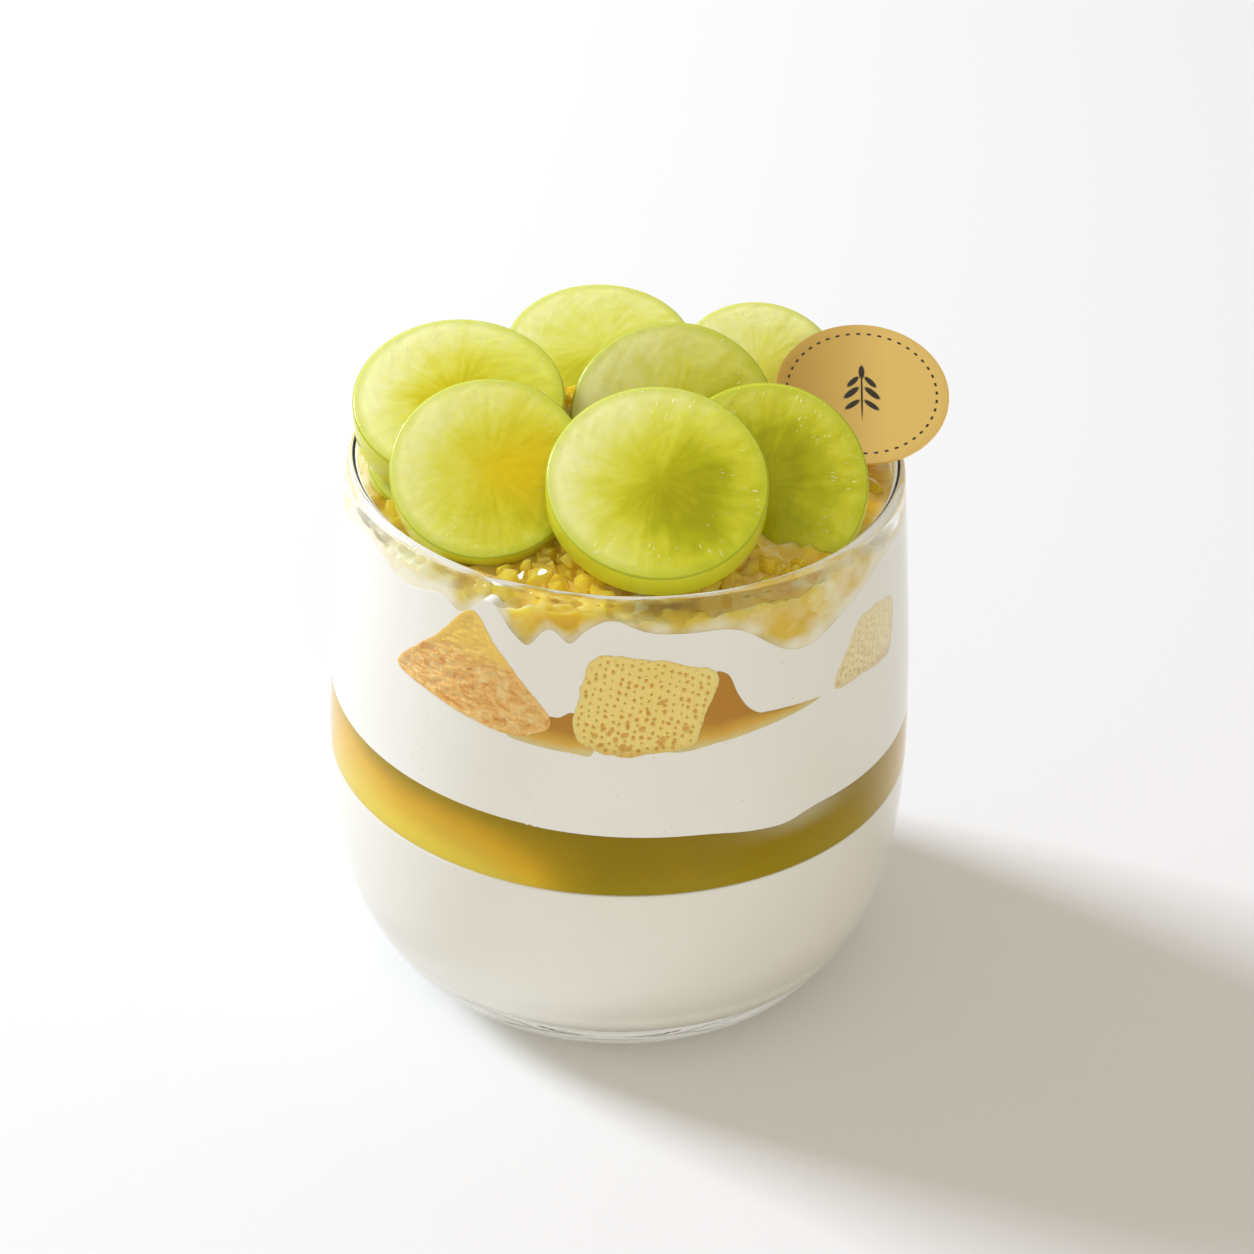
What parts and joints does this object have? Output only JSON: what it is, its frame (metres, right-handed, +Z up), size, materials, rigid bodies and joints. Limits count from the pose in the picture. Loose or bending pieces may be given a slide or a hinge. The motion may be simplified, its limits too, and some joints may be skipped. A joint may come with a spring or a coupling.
{
  "type": "muscat grape verrine",
  "caption": "Layered dessert in a bulged clear glass: pudding, wine jelly, whipped cream, cut sponge, crushed jelly and tilted green grape slices, with a round gilt card on the rim.",
  "frame": {"origin": "centre of the glass's flat underside, on the surface it stands on", "axes": "+Z up along the glass's axis, -Y towards the viewer of the picture, +X to the viewer's right"},
  "size_m": [0.0762, 0.0734, 0.0837],
  "materials": {
    "clear_glass": "clear, polished",
    "milk_pudding": "smooth, moist, ivory",
    "wine_jelly": "clear jelly, olive gold",
    "whipped_cream": "soft, off-white",
    "browned_sponge": "browned skin of baked sponge",
    "sponge_crumb": "open yellow crumb",
    "amber_syrup": "clear amber",
    "crushed_jelly": "broken clear jelly, gold",
    "grape_flesh": "moist, translucent yellow-green",
    "gilt_card": "satin gold face"
  },
  "bodies": {
    "root": {"glass_cup": "clear_glass", "milk_pudding": "milk_pudding", "jelly_band": "wine_jelly", "cream_lower": "whipped_cream", "cream_upper": "whipped_cream", "sponge_crust_left": "browned_sponge", "sponge_crumb_front": "sponge_crumb", "sponge_crumb_right": "sponge_crumb", "sponge_crumb_back_right": "sponge_crumb", "sponge_crust_back": "browned_sponge", "sponge_crumb_back_left": "sponge_crumb", "syrup_left": "amber_syrup", "syrup_front": "amber_syrup", "syrup_back": "amber_syrup", "crushed_jelly": "crushed_jelly", "grape_slice_front": "grape_flesh", "grape_slice_front_left": "grape_flesh", "grape_slice_front_right": "grape_flesh", "grape_slice_middle": "grape_flesh", "grape_slice_left": "grape_flesh", "grape_slice_left_under": "grape_flesh", "grape_slice_back": "grape_flesh", "grape_slice_back_right": "grape_flesh", "gilt_card": "gilt_card"}
  },
  "joints": []
}
